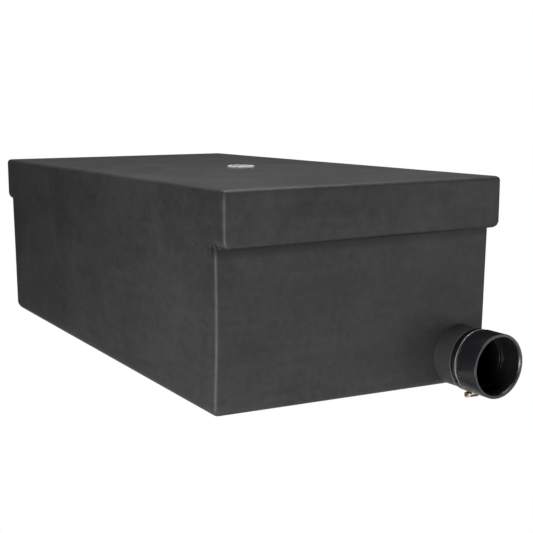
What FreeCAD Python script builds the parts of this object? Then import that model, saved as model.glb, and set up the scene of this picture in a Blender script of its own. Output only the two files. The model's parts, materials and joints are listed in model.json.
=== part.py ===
"""Hung water tank with a clamped outlet hub, one STEP file per separate piece.

Axes: +X across the tank towards the outlet corner, -Y out of the outlet end, +Z up with the top level.
Origin: middle of the whole object's box in X and Y, at the height of its lowest point.
The pieces are drawn with the top at Z 0 and the outlet end's wall at Y 0, then moved there together.
Units are millimetres, and angles are degrees.
"""
import FreeCAD, Part
import math
import os

V = FreeCAD.Vector
X_AXIS = V(1, 0, 0)
Y_AXIS = V(0, 1, 0)
Z_AXIS = V(0, 0, 1)
NEAR = 0.5               # tolerance for picking edges out by their place, and how far cutters overrun

# ---------------------------------------------------------------- moulded shell
WIDTH = 500.0            # across the tank
BODY_LENGTH = 852.0      # between the two end walls at the top
LIP_OVERHANG = 23.0      # each end lip stands out this far
LIP_HEIGHT = 81.0
DEPTH = 317.5            # top to floor at the corner across from the outlet
FALL_ACROSS = 18.5       # the floor falls this much across the width towards the outlet
FALL_ALONG = 12.5        # and this much along the length towards the outlet
END_DRAFT = 0.022        # the end walls lean in by this much per millimetre of depth
WALL = 6.0
CORNER_R = 8.0           # upright corners, and the floor edges except the far one
TOP_R = 7.0
LIP_UNDER_R = 7.5        # lower edges of the lips
FAR_FLOOR_R = 22.0       # floor edge at the far end
LIP_ROOT = 22.0          # the lip blocks reach this far back into the body

# ---------------------------------------------------------------- outlet
OUTLET_X = 445.5         # outlet axis from the long side across from it
OUTLET_DROP = 285.0      # outlet axis below the top
SPOUT_R = 48.8
SPOUT_BORE_R = 45.6
SPOUT_OUT = 43.5         # the moulded spout ends this far out
SPOUT_ROOT = 16.0        # and starts this far in, behind the end wall
SPOUT_BORE_ROOT = 13.5

SEAL_BORE_R = 44.50
SEAL_BEAD_R = 47.6       # the seal's bead lies against the spout's cut edge
SEAL_BEAD_LENGTH = 2.6
SEAL_IN = 2.0

HUB_OUT = 85.5           # front face of the hub
HUB_GAP = 0.3            # from the seal's bead to the hub's shoulder
HUB_R = 50.8
HUB_SHOULDER_R = 2.5
SOCKET_R = 44.6          # takes 88.9 mm drain pipe
SOCKET_DEPTH = 37.0
MOUTH_CHAMFER = 1.6
SPIGOT_R = 44.42
SPIGOT_IN = 4.0
PIPE_BORE_R = 39.0

# ---------------------------------------------------------------- worm clamp
BAND_WIDTH = 12.7
BAND_THICK = 0.65
BAND_OUT = 36.0          # middle of the band
CLAMP_ANGLE = -94.0      # worm housing, about the outlet axis from +X towards +Z
SADDLE_THICK = 0.7
SADDLE_WIDTH = 12.9
SADDLE_HALF_ANGLE = 9.0
BAND_END_ANGLE = -10.0   # the band's inner end, from the middle of the housing
RAMP_ANGLE = 14.0        # the band climbs over its own end in this angle
TAIL_ANGLE = 52.0        # free end of the band
SLOT_STEP = 3.6
FIRST_TAIL_SLOT = -3.6   # angle of the tail's first slot
TAIL_SLOTS = 14
RING_SLOTS = 12
SLOT_LENGTH = 7.6
SLOT_WIDTH = 1.3
SLOT_LEAN = 8.0
SLOT_CUT = 1.4           # depth of the cutter, which clears the layer below
RAMP_STEPS = 6

WORM_R = 3.7
WORM_ROOT_R = 2.9
WORM_PITCH = 3.2
WORM_CREST_HALF = 0.5    # half the width of a ridge at its crest
WORM_FOOT_HALF = 1.1     # and at its foot
WORM_CLEAR = 0.08        # running clearance in the housing's bore
WORM_LIFT = 0.25         # from the band to the thread crests
HOUSING_LENGTH = 16.0
HOUSING_WALL = 0.9
HOUSING_SKIRT = 1.1      # side walls beside the band
HOUSING_SKIRT_FOOT = 49.3
HOUSING_SHOULDER = 51.9
HEAD_ACROSS_FLATS = 8.0
HEAD_LENGTH = 6.0
HEAD_CHAMFER = 0.6
COLLAR_R = 4.3
COLLAR_LENGTH = 1.4
TIP_LENGTH = 1.0
DRIVER_SLOT = 1.3
DRIVER_SLOT_DEPTH = 1.8
END_GAP = 0.25           # from the housing to the screw's collar and tip

# ---------------------------------------------------------------- top port
PORT_X = 267.0
PORT_Y = 383.0
PORT_R = 24.0
PORT_PROUD = 3.0
PORT_DEPTH = 24.0
PORT_THREAD_R = 19.45    # inside the thread crests of a 1 1/4 inch pipe thread
PORT_CHAMFER = 1.6
PORT_RIB_R = 25.6
PORT_RIBS = (7.5, 14.5)  # tops of the gripping ribs, below the tank's top
PORT_RIB_THICK = 2.6
PORT_BOSS_R = 31.0
PORT_BOSS_DEPTH = 20.0

RING_IN = SPOUT_R
RING_OUT = RING_IN + BAND_THICK
TAIL_IN = RING_OUT + SADDLE_THICK
TAIL_OUT = TAIL_IN + BAND_THICK
WORM_AXIS_R = TAIL_OUT + WORM_LIFT + WORM_R


def floor_height(x, y):
    """Height of the sloping floor, with the top at 0."""
    return -DEPTH - FALL_ACROSS * x / WIDTH + FALL_ALONG * y / BODY_LENGTH


def six_sided(top, bottom):
    """A solid from four top and four bottom corners, given in the same order."""
    outlines = [top, bottom]
    for i in range(4):
        j = (i + 1) % 4
        outlines.append([top[i], top[j], bottom[j], bottom[i]])
    faces = [Part.Face(Part.makePolygon(corners + [corners[0]])) for corners in outlines]
    solid = Part.makeSolid(Part.makeShell(faces))
    if solid.Volume < 0:
        solid.reverse()
    return solid


def box(low, high):
    """A box between two corners."""
    return Part.makeBox(high[0] - low[0], high[1] - low[1], high[2] - low[2], V(*low))


def turned(points, centre, axis):
    """A solid of revolution from (radius, height along the axis) points."""
    across = X_AXIS if axis == Z_AXIS else Z_AXIS
    corners = [centre + across * radius + axis * height for radius, height in points]
    profile = Part.Face(Part.makePolygon(corners + [corners[0]]))
    return profile.revolve(centre, axis, 360)


def tube(outer, inner, low, high, x, z):
    """A tube along Y between two depths, on an axis at x, z."""
    start = V(x, low, z)
    outside = Part.makeCylinder(outer, high - low, start, Y_AXIS)
    return outside.cut(Part.makeCylinder(inner, high - low, start, Y_AXIS))


def rounded(shape, radius, test):
    """The shape with a fillet on every edge whose box passes the test."""
    return shape.makeFillet(radius, [edge for edge in shape.Edges if test(edge.BoundBox)])


def body_block(inset):
    """The tank's main block, drawn in by inset on every side."""
    slope_x = FALL_ACROSS / WIDTH
    slope_y = FALL_ALONG / BODY_LENGTH
    rise = inset * math.sqrt(1.0 + slope_x ** 2 + slope_y ** 2)
    lean = inset * math.hypot(1.0, END_DRAFT)
    ends = ((lean, END_DRAFT), (BODY_LENGTH - lean, -END_DRAFT))
    sides = (inset, WIDTH - inset)

    def corner(side, end, low):
        x = sides[side]
        y, draft = ends[end]
        depth = inset
        if low:
            depth = (-floor_height(x, y) - rise) / (1.0 + slope_y * draft)
        return V(x, y + draft * depth, -depth)

    order = ((0, 0), (1, 0), (1, 1), (0, 1))
    top = [corner(side, end, False) for side, end in order]
    bottom = [corner(side, end, True) for side, end in order]
    return six_sided(top, bottom)


def lip_block(far, inset):
    """One end's lip with its root in the body, drawn in by inset."""
    low = [inset, inset - LIP_OVERHANG, inset - LIP_HEIGHT]
    high = [WIDTH - inset, LIP_ROOT, -inset]
    if far:
        low[1], high[1] = BODY_LENGTH - LIP_ROOT, BODY_LENGTH + LIP_OVERHANG - inset
    return box(low, high)


def is_far_floor_edge(edge_box):
    low = edge_box.ZMax < -DEPTH / 2
    return low and edge_box.YMin > BODY_LENGTH / 2 and edge_box.XLength > WIDTH / 2


def is_body_edge(edge_box):
    upright = edge_box.ZLength > DEPTH / 2
    low = edge_box.ZMax < -DEPTH / 2
    far_side = edge_box.YMin > BODY_LENGTH / 2 and edge_box.XLength > WIDTH / 2
    return upright or (low and not far_side)


def is_lip_upright(far):
    """The test for the two upright corners at a lip's outer end."""
    def test(edge_box):
        outer = edge_box.YMin > BODY_LENGTH if far else edge_box.YMax < 0.0
        return outer and edge_box.ZLength > LIP_HEIGHT / 2
    return test


def is_under_lip(far):
    """The test for a lip's lower edges, leaving out the one inside the body."""
    inner = BODY_LENGTH - LIP_ROOT if far else LIP_ROOT

    def test(edge_box):
        at_root = abs(edge_box.YMin - inner) < NEAR and edge_box.YLength < NEAR
        return edge_box.ZMax < NEAR - LIP_HEIGHT and not at_root
    return test


def rounded_body(inset):
    """The main block with rounded corners, for the outside or the hollow."""
    block = rounded(body_block(inset), FAR_FLOOR_R - inset, is_far_floor_edge)
    return rounded(block, CORNER_R - inset, is_body_edge)


def rounded_lip(far):
    """One lip's outside, with its upright corners and lower edges rounded."""
    block = rounded(lip_block(far, 0.0), CORNER_R, is_lip_upright(far))
    return rounded(block, LIP_UNDER_R, is_under_lip(far))


def tank_shell():
    """The one-piece moulded shell: hollow body and lips, spout and port boss."""
    outside = rounded_body(0.0).multiFuse([rounded_lip(False), rounded_lip(True)]).removeSplitter()
    outside = rounded(outside, TOP_R, lambda edge_box: edge_box.ZMin > -NEAR)
    spout = Part.makeCylinder(SPOUT_R, SPOUT_OUT + SPOUT_ROOT, V(OUTLET_X, -SPOUT_OUT, -OUTLET_DROP), Y_AXIS)
    outside = outside.fuse(spout)

    hollow = rounded_body(WALL).multiFuse([lip_block(False, WALL), lip_block(True, WALL)])
    boss = Part.makeCylinder(PORT_BOSS_R, PORT_BOSS_DEPTH, V(PORT_X, PORT_Y, -PORT_BOSS_DEPTH), Z_AXIS)
    hollow = hollow.cut(boss)
    bore_length = SPOUT_OUT + SPOUT_BORE_ROOT
    spout_bore = Part.makeCylinder(
        SPOUT_BORE_R, bore_length, V(OUTLET_X, -SPOUT_OUT, -OUTLET_DROP), Y_AXIS)
    return outside.cut(hollow).cut(spout_bore).cut(port_blank())


def port_blank():
    """The outside of the top port's fitting, with its gripping ribs."""
    points = [(0.0, PORT_PROUD), (PORT_R, PORT_PROUD)]
    for top in PORT_RIBS:
        points += [(PORT_R, -top), (PORT_RIB_R, -top - PORT_RIB_THICK / 2), (PORT_R, -top - PORT_RIB_THICK)]
    points += [(PORT_R, -PORT_DEPTH), (0.0, -PORT_DEPTH)]
    return turned(points, V(PORT_X, PORT_Y, 0), Z_AXIS)


def top_port_fitting():
    """The threaded insert that the shell is moulded round; its thread is left plain."""
    mouth = PORT_THREAD_R + PORT_CHAMFER
    bore = [(0.0, PORT_PROUD), (mouth, PORT_PROUD), (PORT_THREAD_R, PORT_PROUD - PORT_CHAMFER),
            (PORT_THREAD_R, -PORT_DEPTH), (0.0, -PORT_DEPTH)]
    return port_blank().cut(turned(bore, V(PORT_X, PORT_Y, 0), Z_AXIS))


def outlet_seal():
    """The rubber sleeve between the spout and the hub's spigot, with a bead at its outer end."""
    bead_end = -SPOUT_OUT - SEAL_BEAD_LENGTH
    sleeve = tube(SPOUT_BORE_R, SEAL_BORE_R, bead_end, SEAL_IN, OUTLET_X, -OUTLET_DROP)
    bead = tube(SEAL_BEAD_R, SEAL_BORE_R, bead_end, -SPOUT_OUT, OUTLET_X, -OUTLET_DROP)
    return sleeve.fuse(bead).removeSplitter()


def outlet_hub():
    """The drain hub: a pipe socket with a stop ledge in front, a spigot behind."""
    front = -HUB_OUT
    shoulder = -SPOUT_OUT - SEAL_BEAD_LENGTH - HUB_GAP
    ledge = front + SOCKET_DEPTH
    mouth = SOCKET_R + MOUTH_CHAMFER
    points = [(mouth, front), (HUB_R, front), (HUB_R, shoulder), (SPIGOT_R, shoulder),
              (SPIGOT_R, SPIGOT_IN), (PIPE_BORE_R, SPIGOT_IN), (PIPE_BORE_R, ledge),
              (SOCKET_R, ledge), (SOCKET_R, front + MOUTH_CHAMFER)]
    hub = turned(points, V(OUTLET_X, 0, -OUTLET_DROP), Y_AXIS)

    def is_shoulder(edge_box):
        flat = edge_box.YLength < NEAR and abs(edge_box.YMin - shoulder) < NEAR
        return flat and edge_box.XLength > 2 * HUB_R - NEAR
    return rounded(hub, HUB_SHOULDER_R, is_shoulder)


def arc_strip(inner, outer, start, end, width=BAND_WIDTH):
    """Part of a ring about Y, between two angles from +Z towards +X, centred on Y 0."""
    profile = Part.Face(Part.makePolygon([
        V(0, -width / 2, inner), V(0, width / 2, inner),
        V(0, width / 2, outer), V(0, -width / 2, outer), V(0, -width / 2, inner)]))
    profile.rotate(V(0, 0, 0), Y_AXIS, start)
    return profile.revolve(V(0, 0, 0), Y_AXIS, end - start)


def band_ramp():
    """The stretch where the band climbs over its own end."""
    start = BAND_END_ANGLE - RAMP_ANGLE
    inner = []
    outer = []
    for i in range(RAMP_STEPS + 1):
        share = i / RAMP_STEPS
        angle = math.radians(start + RAMP_ANGLE * share)
        low = RING_IN + (TAIL_IN - RING_IN) * share
        inner.append(V(low * math.sin(angle), -BAND_WIDTH / 2, low * math.cos(angle)))
        high = low + BAND_THICK
        outer.append(V(high * math.sin(angle), -BAND_WIDTH / 2, high * math.cos(angle)))
    outline = inner + outer[::-1] + inner[:1]
    return Part.Face(Part.makePolygon(outline)).extrude(V(0, BAND_WIDTH, 0))


def worm_slot(angle, radius):
    """A cutter for one slot in the band at an angle from the middle of the housing."""
    low = V(-SLOT_WIDTH / 2, -SLOT_LENGTH / 2, -SLOT_CUT / 2)
    cutter = Part.makeBox(SLOT_WIDTH, SLOT_LENGTH, SLOT_CUT, low)
    cutter.rotate(V(0, 0, 0), Z_AXIS, SLOT_LEAN)
    cutter.translate(V(0, 0, radius))
    cutter.rotate(V(0, 0, 0), Y_AXIS, angle)
    return cutter


def clamp_band():
    """The slotted band: once round the spout, up over its own end and on as a free tail."""
    ramp_start = BAND_END_ANGLE - RAMP_ANGLE
    ring = arc_strip(RING_IN, RING_OUT, BAND_END_ANGLE, 360.0 + ramp_start)
    tail = arc_strip(TAIL_IN, TAIL_OUT, BAND_END_ANGLE, TAIL_ANGLE)
    band = ring.multiFuse([band_ramp(), tail])
    tail_middle = (TAIL_IN + TAIL_OUT) / 2
    ring_middle = (RING_IN + RING_OUT) / 2
    slots = [worm_slot(FIRST_TAIL_SLOT + SLOT_STEP * i, tail_middle) for i in range(TAIL_SLOTS)]
    slots += [worm_slot(ramp_start - SLOT_STEP * (i + 1), ring_middle) for i in range(RING_SLOTS)]
    return band.cut(Part.makeCompound(slots))


def clamp_saddle():
    """The small plate between the band's inner end and its tail, which the housing is crimped to."""
    return arc_strip(RING_OUT, TAIL_IN, -SADDLE_HALF_ANGLE, SADDLE_HALF_ANGLE, SADDLE_WIDTH)


def clamp_housing():
    """The pressed cover over the worm, with a skirt down each side of the band."""
    half_channel = SADDLE_WIDTH / 2
    half = half_channel + HOUSING_SKIRT
    cover_r = WORM_R + WORM_CLEAR + HOUSING_WALL
    outline = [(-half, HOUSING_SKIRT_FOOT), (half, HOUSING_SKIRT_FOOT), (half, HOUSING_SHOULDER),
               (cover_r, WORM_AXIS_R), (-cover_r, WORM_AXIS_R), (-half, HOUSING_SHOULDER)]
    corners = [V(-HOUSING_LENGTH / 2, y, z) for y, z in outline]
    base = Part.Face(Part.makePolygon(corners + corners[:1])).extrude(V(HOUSING_LENGTH, 0, 0))
    start = V(-HOUSING_LENGTH / 2, 0, WORM_AXIS_R)
    cover = Part.makeCylinder(cover_r, HOUSING_LENGTH, start, X_AXIS)
    bore = Part.makeCylinder(WORM_R + WORM_CLEAR, HOUSING_LENGTH, start, X_AXIS)
    channel = Part.makeCylinder(TAIL_OUT, 2 * half_channel, V(0, -half_channel, 0), Y_AXIS)
    return base.fuse(cover).cut(bore).cut(channel)


def clamp_screw():
    """The worm with its slotted hexagon head on +X and its retaining tip on -X."""
    tip = -HOUSING_LENGTH / 2 - END_GAP
    collar = HOUSING_LENGTH / 2 + END_GAP
    points = [(0.0, tip - TIP_LENGTH), (COLLAR_R, tip - TIP_LENGTH), (COLLAR_R, tip), (WORM_ROOT_R, tip)]
    turns = int((collar - tip) / WORM_PITCH)
    for i in range(turns):
        ridge = WORM_PITCH * (i + 0.5 - turns / 2)
        points += [(WORM_ROOT_R, ridge - WORM_FOOT_HALF), (WORM_R, ridge - WORM_CREST_HALF),
                   (WORM_R, ridge + WORM_CREST_HALF), (WORM_ROOT_R, ridge + WORM_FOOT_HALF)]
    points += [(WORM_ROOT_R, collar), (COLLAR_R, collar), (COLLAR_R, collar + COLLAR_LENGTH),
               (0.0, collar + COLLAR_LENGTH)]
    worm = turned(points, V(0, 0, WORM_AXIS_R), X_AXIS)
    return worm.fuse(screw_head(collar + COLLAR_LENGTH))


def screw_head(start):
    """The hexagon head with a driver slot, from a place along X."""
    corner_r = HEAD_ACROSS_FLATS / math.sqrt(3)
    corners = [V(start, corner_r * math.cos(math.radians(60 * i + 30)),
                 WORM_AXIS_R + corner_r * math.sin(math.radians(60 * i + 30))) for i in range(6)]
    head = Part.Face(Part.makePolygon(corners + corners[:1])).extrude(V(HEAD_LENGTH, 0, 0))
    past = corner_r + NEAR
    dome = turned([(0.0, 0.0), (past, 0.0), (past, HEAD_LENGTH - HEAD_CHAMFER),
                   (corner_r - 2 * HEAD_CHAMFER, HEAD_LENGTH), (0.0, HEAD_LENGTH)],
                  V(start, 0, WORM_AXIS_R), X_AXIS)
    end = start + HEAD_LENGTH
    slot = box((end - DRIVER_SLOT_DEPTH, -past, WORM_AXIS_R - DRIVER_SLOT / 2),
               (end + NEAR, past, WORM_AXIS_R + DRIVER_SLOT / 2))
    return head.common(dome).cut(slot)


def on_spout(piece):
    """A clamp piece, drawn about Y with the housing on +Z, moved to its place on the spout."""
    piece.rotate(V(0, 0, 0), Y_AXIS, 90.0 - CLAMP_ANGLE)
    piece.translate(V(OUTLET_X, -BAND_OUT, -OUTLET_DROP))
    return piece


def pieces():
    return {
        "tank_shell": tank_shell(),
        "top_port_fitting": top_port_fitting(),
        "outlet_seal": outlet_seal(),
        "outlet_hub": outlet_hub(),
        "clamp_band": on_spout(clamp_band()),
        "clamp_saddle": on_spout(clamp_saddle()),
        "clamp_housing": on_spout(clamp_housing()),
        "clamp_screw": on_spout(clamp_screw()),
    }


def main():
    os.makedirs("parts", exist_ok=True)
    shapes = pieces()
    whole = Part.makeCompound(list(shapes.values())).BoundBox
    shift = V(-WIDTH / 2, -(BODY_LENGTH + LIP_OVERHANG - HUB_OUT) / 2, -whole.ZMin)
    for name, shape in shapes.items():
        shape.translate(shift)
        shape.exportStep("parts/" + name + ".step")
    print("moved by", shift)


main()
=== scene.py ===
"""Looks for a hung water tank with a clamped outlet hub, laid out as an add-on and run as a script.

Every length is in metres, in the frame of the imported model: +Y runs along the tank away from
its outlet, +X points across it towards the outlet corner, and +Z is up.
"""

import json
import math

import bmesh
import bpy
from bpy.props import FloatProperty, FloatVectorProperty, IntProperty, PointerProperty
from mathutils import Matrix, Vector, noise


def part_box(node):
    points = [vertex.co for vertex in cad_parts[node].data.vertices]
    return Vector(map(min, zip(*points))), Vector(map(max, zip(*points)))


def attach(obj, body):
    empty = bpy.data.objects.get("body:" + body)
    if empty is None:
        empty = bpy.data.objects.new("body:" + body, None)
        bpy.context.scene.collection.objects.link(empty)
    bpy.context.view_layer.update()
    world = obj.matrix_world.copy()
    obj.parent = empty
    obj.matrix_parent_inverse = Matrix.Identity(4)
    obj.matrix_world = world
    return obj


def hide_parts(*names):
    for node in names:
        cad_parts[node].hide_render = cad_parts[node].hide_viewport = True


bl_info = {
    "name": "Clamped Outlet Water Tank",
    "version": (1, 0, 0),
    "blender": (4, 5, 0),
    "location": "3D View > Sidebar > Tank",
    "description": "Builds the visible pieces of a hung water tank round its packed frame",
    "category": "Object",
}

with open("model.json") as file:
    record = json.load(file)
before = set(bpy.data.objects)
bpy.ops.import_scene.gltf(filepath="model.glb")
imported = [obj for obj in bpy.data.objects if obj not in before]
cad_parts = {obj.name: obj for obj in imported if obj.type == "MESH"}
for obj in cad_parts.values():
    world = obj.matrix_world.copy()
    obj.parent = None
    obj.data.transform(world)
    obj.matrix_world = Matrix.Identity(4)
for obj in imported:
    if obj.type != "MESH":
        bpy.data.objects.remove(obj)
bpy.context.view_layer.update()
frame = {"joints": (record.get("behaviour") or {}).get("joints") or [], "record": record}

MM = 0.001
MOUNTS = {mount["name"]: mount for mount in frame["record"]["mounts"]}
SHELL_LOW, SHELL_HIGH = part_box("tank_shell")
HUB_LOW, HUB_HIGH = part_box("outlet_hub")
SEAL_LOW, SEAL_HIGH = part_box("outlet_seal")
BAND_LOW, BAND_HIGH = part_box("clamp_band")
PORT_LOW, PORT_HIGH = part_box("top_port_fitting")
OUTLET = Vector(MOUNTS["outlet_socket"]["pos_m"])
SOCKET_R = MOUNTS["outlet_socket"]["dims"]["r_mm"] * MM
PORT = Vector(MOUNTS["top_port"]["pos_m"])
THREAD_R = MOUNTS["top_port"]["dims"]["r_mm"] * MM
LIP_REST_Z = MOUNTS["lip_rest_far_end"]["pos_m"][2]
SCREW_JOINT = next(joint for joint in frame["joints"] if joint["name"] == "screw_turn")
TOP_Z = SHELL_HIGH.z
HALF_WIDTH = SHELL_HIGH.x
MIDDLE_Y = MOUNTS["floor_face"]["pos_m"][1]
TURN = 2.0 * math.pi


def length(label, default, text, low=0.0):
    """A length property in metres."""
    return FloatProperty(name=label, description=text, default=default, min=low, unit="LENGTH", precision=5)


def colour(label, default, text):
    """A linear colour property."""
    return FloatVectorProperty(name=label, description=text, default=default, subtype="COLOR", min=0.0, max=1.0)


class TankShellSizes(bpy.types.PropertyGroup):
    """Sizes and colours of the moulded shell."""

    body_length: length("Body length", 0.852, "Between the two end walls at the top")
    wall: length("Wall", 0.006, "Thickness of the moulded wall")
    depth: length("Depth", 0.3175, "Top to floor at the corner across from the outlet")
    fall_across: length("Fall across", 0.0185, "How much the floor falls across the width")
    fall_along: length("Fall along", 0.0125, "How much the floor falls along the length")
    end_draft: FloatProperty(name="End draft", description="Lean of the end walls", default=0.022)
    corner: length("Corner radius", 0.0055, "Radius of the upright corners")
    top_edge: length("Top edge radius", 0.007, "Radius of the edges round the top and under the lips")
    floor_edge: length("Floor edge radius", 0.012, "Radius of the floor edges except the far one")
    far_floor: length("Far floor radius", 0.022, "Radius of the floor edge at the far end")
    lip_end: length("Lip end radius", 0.013, "Radius of the lower corners at the ends of each lip")
    inside_corner: length("Inside corner radius", 0.0035, "Radius where a lip meets the wall below it")
    grid: length("Grid", 0.016, "Spacing of the mesh over the flat walls", 0.004)
    bow: length("Wall bow", 0.002, "How far the long wall draws in near the outlet end")
    ripple: length("Ripple", 0.0005, "Depth of the slow ripples in the walls")
    grid_margin: length("Grid margin", 0.016, "From the edges of a wall to the first line of its mesh")
    end_margin: length("End margin", 0.026, "From an end wall to the first line across the body")
    end_step: length("End step", 0.008, "How much further in the line at the far end stands")
    lip_line: length("Lip line", 0.0127, "From a lip's face to the mesh line round the lip")
    spout_radius: length("Spout radius", 0.0488, "Outside radius of the moulded spout")
    spout_bore: length("Spout bore", 0.0456, "Inside radius of the moulded spout")
    boss_radius: length("Boss radius", 0.031, "Radius of the thick boss round the top port")
    boss_depth: length("Boss depth", 0.020, "Depth of the thick boss round the top port")
    dark: colour("Dark", (0.020, 0.020, 0.0212), "Darker polyethylene")
    pale: colour("Pale", (0.040, 0.0395, 0.0405), "Paler, chalky polyethylene")


class TankOutletSizes(bpy.types.PropertyGroup):
    """Sizes and colours of the hub and its seal."""

    hub_radius: length("Hub radius", 0.0508, "Outside radius of the hub")
    spigot_radius: length("Spigot radius", 0.04442, "Outside radius of the spigot")
    pipe_bore: length("Pipe bore", 0.039, "Radius of the bore behind the stop ledge")
    socket_depth: length("Socket depth", 0.038, "Mouth to stop ledge")
    mouth_chamfer: length("Mouth chamfer", 0.0016, "Lead-in at the mouth")
    bead_radius: length("Bead radius", 0.0476, "Outside radius of the seal's bead")
    seal_bore: length("Seal bore", 0.0445, "Inside radius of the seal")
    hub_black: colour("Hub black", (0.0075, 0.0078, 0.0090), "Glossy black of the hub")
    seal_black: colour("Seal black", (0.060, 0.060, 0.060), "Matte black of the seal")


class TankClampSizes(bpy.types.PropertyGroup):
    """Sizes and colours of the worm clamp."""

    thickness: length("Band thickness", 0.00065, "Thickness of the band")
    saddle: length("Saddle thickness", 0.0007, "Thickness of the saddle plate")
    saddle_width: length("Saddle width", 0.0129, "Width of the saddle plate")
    slot_length: length("Slot length", 0.0076, "Length of a worm slot")
    slot_width: length("Slot width", 0.0013, "Width of a worm slot")
    worm_radius: length("Worm radius", 0.0037, "Outside radius of the worm")
    worm_pitch: length("Worm pitch", 0.0032, "Pitch of the worm")
    housing_length: length("Housing length", 0.016, "Length of the worm housing")
    housing_wall: length("Housing wall", 0.0009, "Wall of the worm housing")
    housing_skirt: length("Housing skirt", 0.0011, "Thickness of the side walls beside the band")
    skirt_foot: length("Skirt foot", 0.0493, "Foot of the side walls, from the outlet's axis")
    shoulder: length("Shoulder", 0.0519, "Where the side walls turn in, from the outlet's axis")
    worm_clear: length("Worm clearance", 0.00008, "Running clearance round the worm")
    worm_root: length("Worm root", 0.0029, "Root radius of the worm")
    collar: length("Collar", 0.0043, "Radius of the collars at the worm's ends")
    end_gap: length("End gap", 0.00025, "From the housing to each collar")
    head_flats: length("Head across flats", 0.008, "Hexagon head across its flats")
    head_length: length("Head length", 0.006, "Length of the hexagon head")
    steel: colour("Steel", (0.30, 0.29, 0.27), "Rolled steel of band and housing")
    plating: colour("Plating", (0.50, 0.34, 0.13), "Yellow zinc plating of the screw")


class TankPortSizes(bpy.types.PropertyGroup):
    """Sizes and colours of the threaded port in the top."""

    radius: length("Port radius", 0.024, "Outside radius of the fitting")
    thread_depth: length("Thread depth", 0.0016, "Depth of the thread")
    thread_pitch: length("Thread pitch", 0.002209, "Pitch of the thread")
    steps_round: IntProperty(name="Steps round", description="Mesh steps round the port", default=96, min=24)
    plastic: colour("Plastic", (0.60, 0.62, 0.66), "Natural plastic of the fitting")


class TankStageSizes(bpy.types.PropertyGroup):
    """Camera, light and floor."""

    lens: FloatProperty(name="Lens", description="Focal length on a 36 mm sensor", default=67.216, unit="CAMERA")
    yaw: FloatProperty(name="Yaw", description="Turn of the camera from +Y towards +X", default=0.56017,
                       subtype="ANGLE", unit="ROTATION")
    pitch: FloatProperty(name="Pitch", description="Tilt of the camera below level", default=0.16076,
                         subtype="ANGLE", unit="ROTATION")
    roll: FloatProperty(name="Roll", description="Turn of the camera about its own line of sight",
                        default=-0.00027, subtype="ANGLE", unit="ROTATION")
    from_corner: FloatVectorProperty(
        name="From corner", description="Camera from the near top corner of the body", size=3,
        default=(-0.63822, -1.14595, 0.10903), subtype="TRANSLATION", unit="LENGTH")
    floor_drop: length("Floor drop", 0.60, "How far below the hung tank the floor lies")
    floor_colour: colour("Floor", (0.70, 0.70, 0.70), "Floor as it lights the tank; the camera sees it white")
    ambient: FloatProperty(name="Ambient", description="Strength of the light from all round", default=0.02)


# ---------------------------------------------------------------- mesh helpers


def add_mesh(name, bm):
    """A new object from a bmesh, which is freed."""
    bmesh.ops.recalc_face_normals(bm, faces=bm.faces)
    mesh = bpy.data.meshes.new(name)
    bm.to_mesh(mesh)
    bm.free()
    piece = bpy.data.objects.new(name, mesh)
    bpy.context.scene.collection.objects.link(piece)
    return piece


def apply_modifiers(piece):
    """Bakes a piece's modifiers into its mesh."""
    bpy.context.view_layer.update()
    evaluated = piece.evaluated_get(bpy.context.evaluated_depsgraph_get())
    mesh = bpy.data.meshes.new_from_object(evaluated)
    old = piece.data
    piece.modifiers.clear()
    piece.data = mesh
    mesh.name = piece.name
    bpy.data.meshes.remove(old)


def combine(piece, other, operation):
    """Boolean of a piece with another object, which is used up."""
    modifier = piece.modifiers.new(operation, "BOOLEAN")
    modifier.operation = operation
    modifier.solver = "EXACT"
    modifier.object = other
    apply_modifiers(piece)
    mesh = other.data
    bpy.data.objects.remove(other)
    bpy.data.meshes.remove(mesh)


def soften(piece, width, segments=2, angle=math.radians(35)):
    """Rounds the sharp edges of a small piece."""
    modifier = piece.modifiers.new("soften", "BEVEL")
    modifier.width = width
    modifier.segments = segments
    modifier.limit_method = "ANGLE"
    modifier.angle_limit = angle
    apply_modifiers(piece)


def fit_out(piece, body, node, material, smooth=math.radians(32)):
    """Shades a finished piece, puts it on its body and lets it stand for its CAD node."""
    mesh = piece.data
    mesh.materials.clear()
    mesh.materials.append(material)
    mesh.shade_smooth()
    mesh.set_sharp_from_angle(angle=smooth)
    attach(piece, body)
    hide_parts(node)


def rounded_outline(corners, steps=5):
    """A closed outline of 2D points from (a, b, radius) corners."""
    outline = []
    count = len(corners)
    for i, (a, b, radius) in enumerate(corners):
        here = Vector((a, b))
        if radius <= 0.0:
            outline.append(here)
            continue
        back = (Vector(corners[i - 1][:2]) - here).normalized()
        ahead = (Vector(corners[(i + 1) % count][:2]) - here).normalized()
        half = back.angle(ahead) / 2
        centre = here + (back + ahead).normalized() * (radius / math.sin(half))
        start = here + back * (radius / math.tan(half)) - centre
        end = here + ahead * (radius / math.tan(half)) - centre
        sweep = start.angle_signed(end)
        for step in range(steps + 1):
            turn = Matrix.Rotation(-sweep * step / steps, 2)
            outline.append(centre + turn @ start)
    return outline


def ring_frame(axis):
    """Two directions across an axis, for turning an outline about it."""
    across = Vector((0, 0, 1)) if abs(axis.z) < 0.9 else Vector((1, 0, 0))
    side = axis.cross(across).normalized()
    return side.cross(axis).normalized(), side


def sweep_rings(rings, closed_round=True):
    """A bmesh skin over rings of equally many points; ends are capped unless it closes round."""
    bm = bmesh.new()
    loops = [[bm.verts.new(point) for point in ring] for ring in rings]
    count = len(loops[0])
    pairs = len(loops) if closed_round else len(loops) - 1
    for i in range(pairs):
        this, following = loops[i], loops[(i + 1) % len(loops)]
        for j in range(count):
            k = (j + 1) % count
            bm.faces.new((this[j], this[k], following[k], following[j]))
    if not closed_round:
        bm.faces.new(loops[0][::-1])
        bm.faces.new(loops[-1])
    return bm


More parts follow.
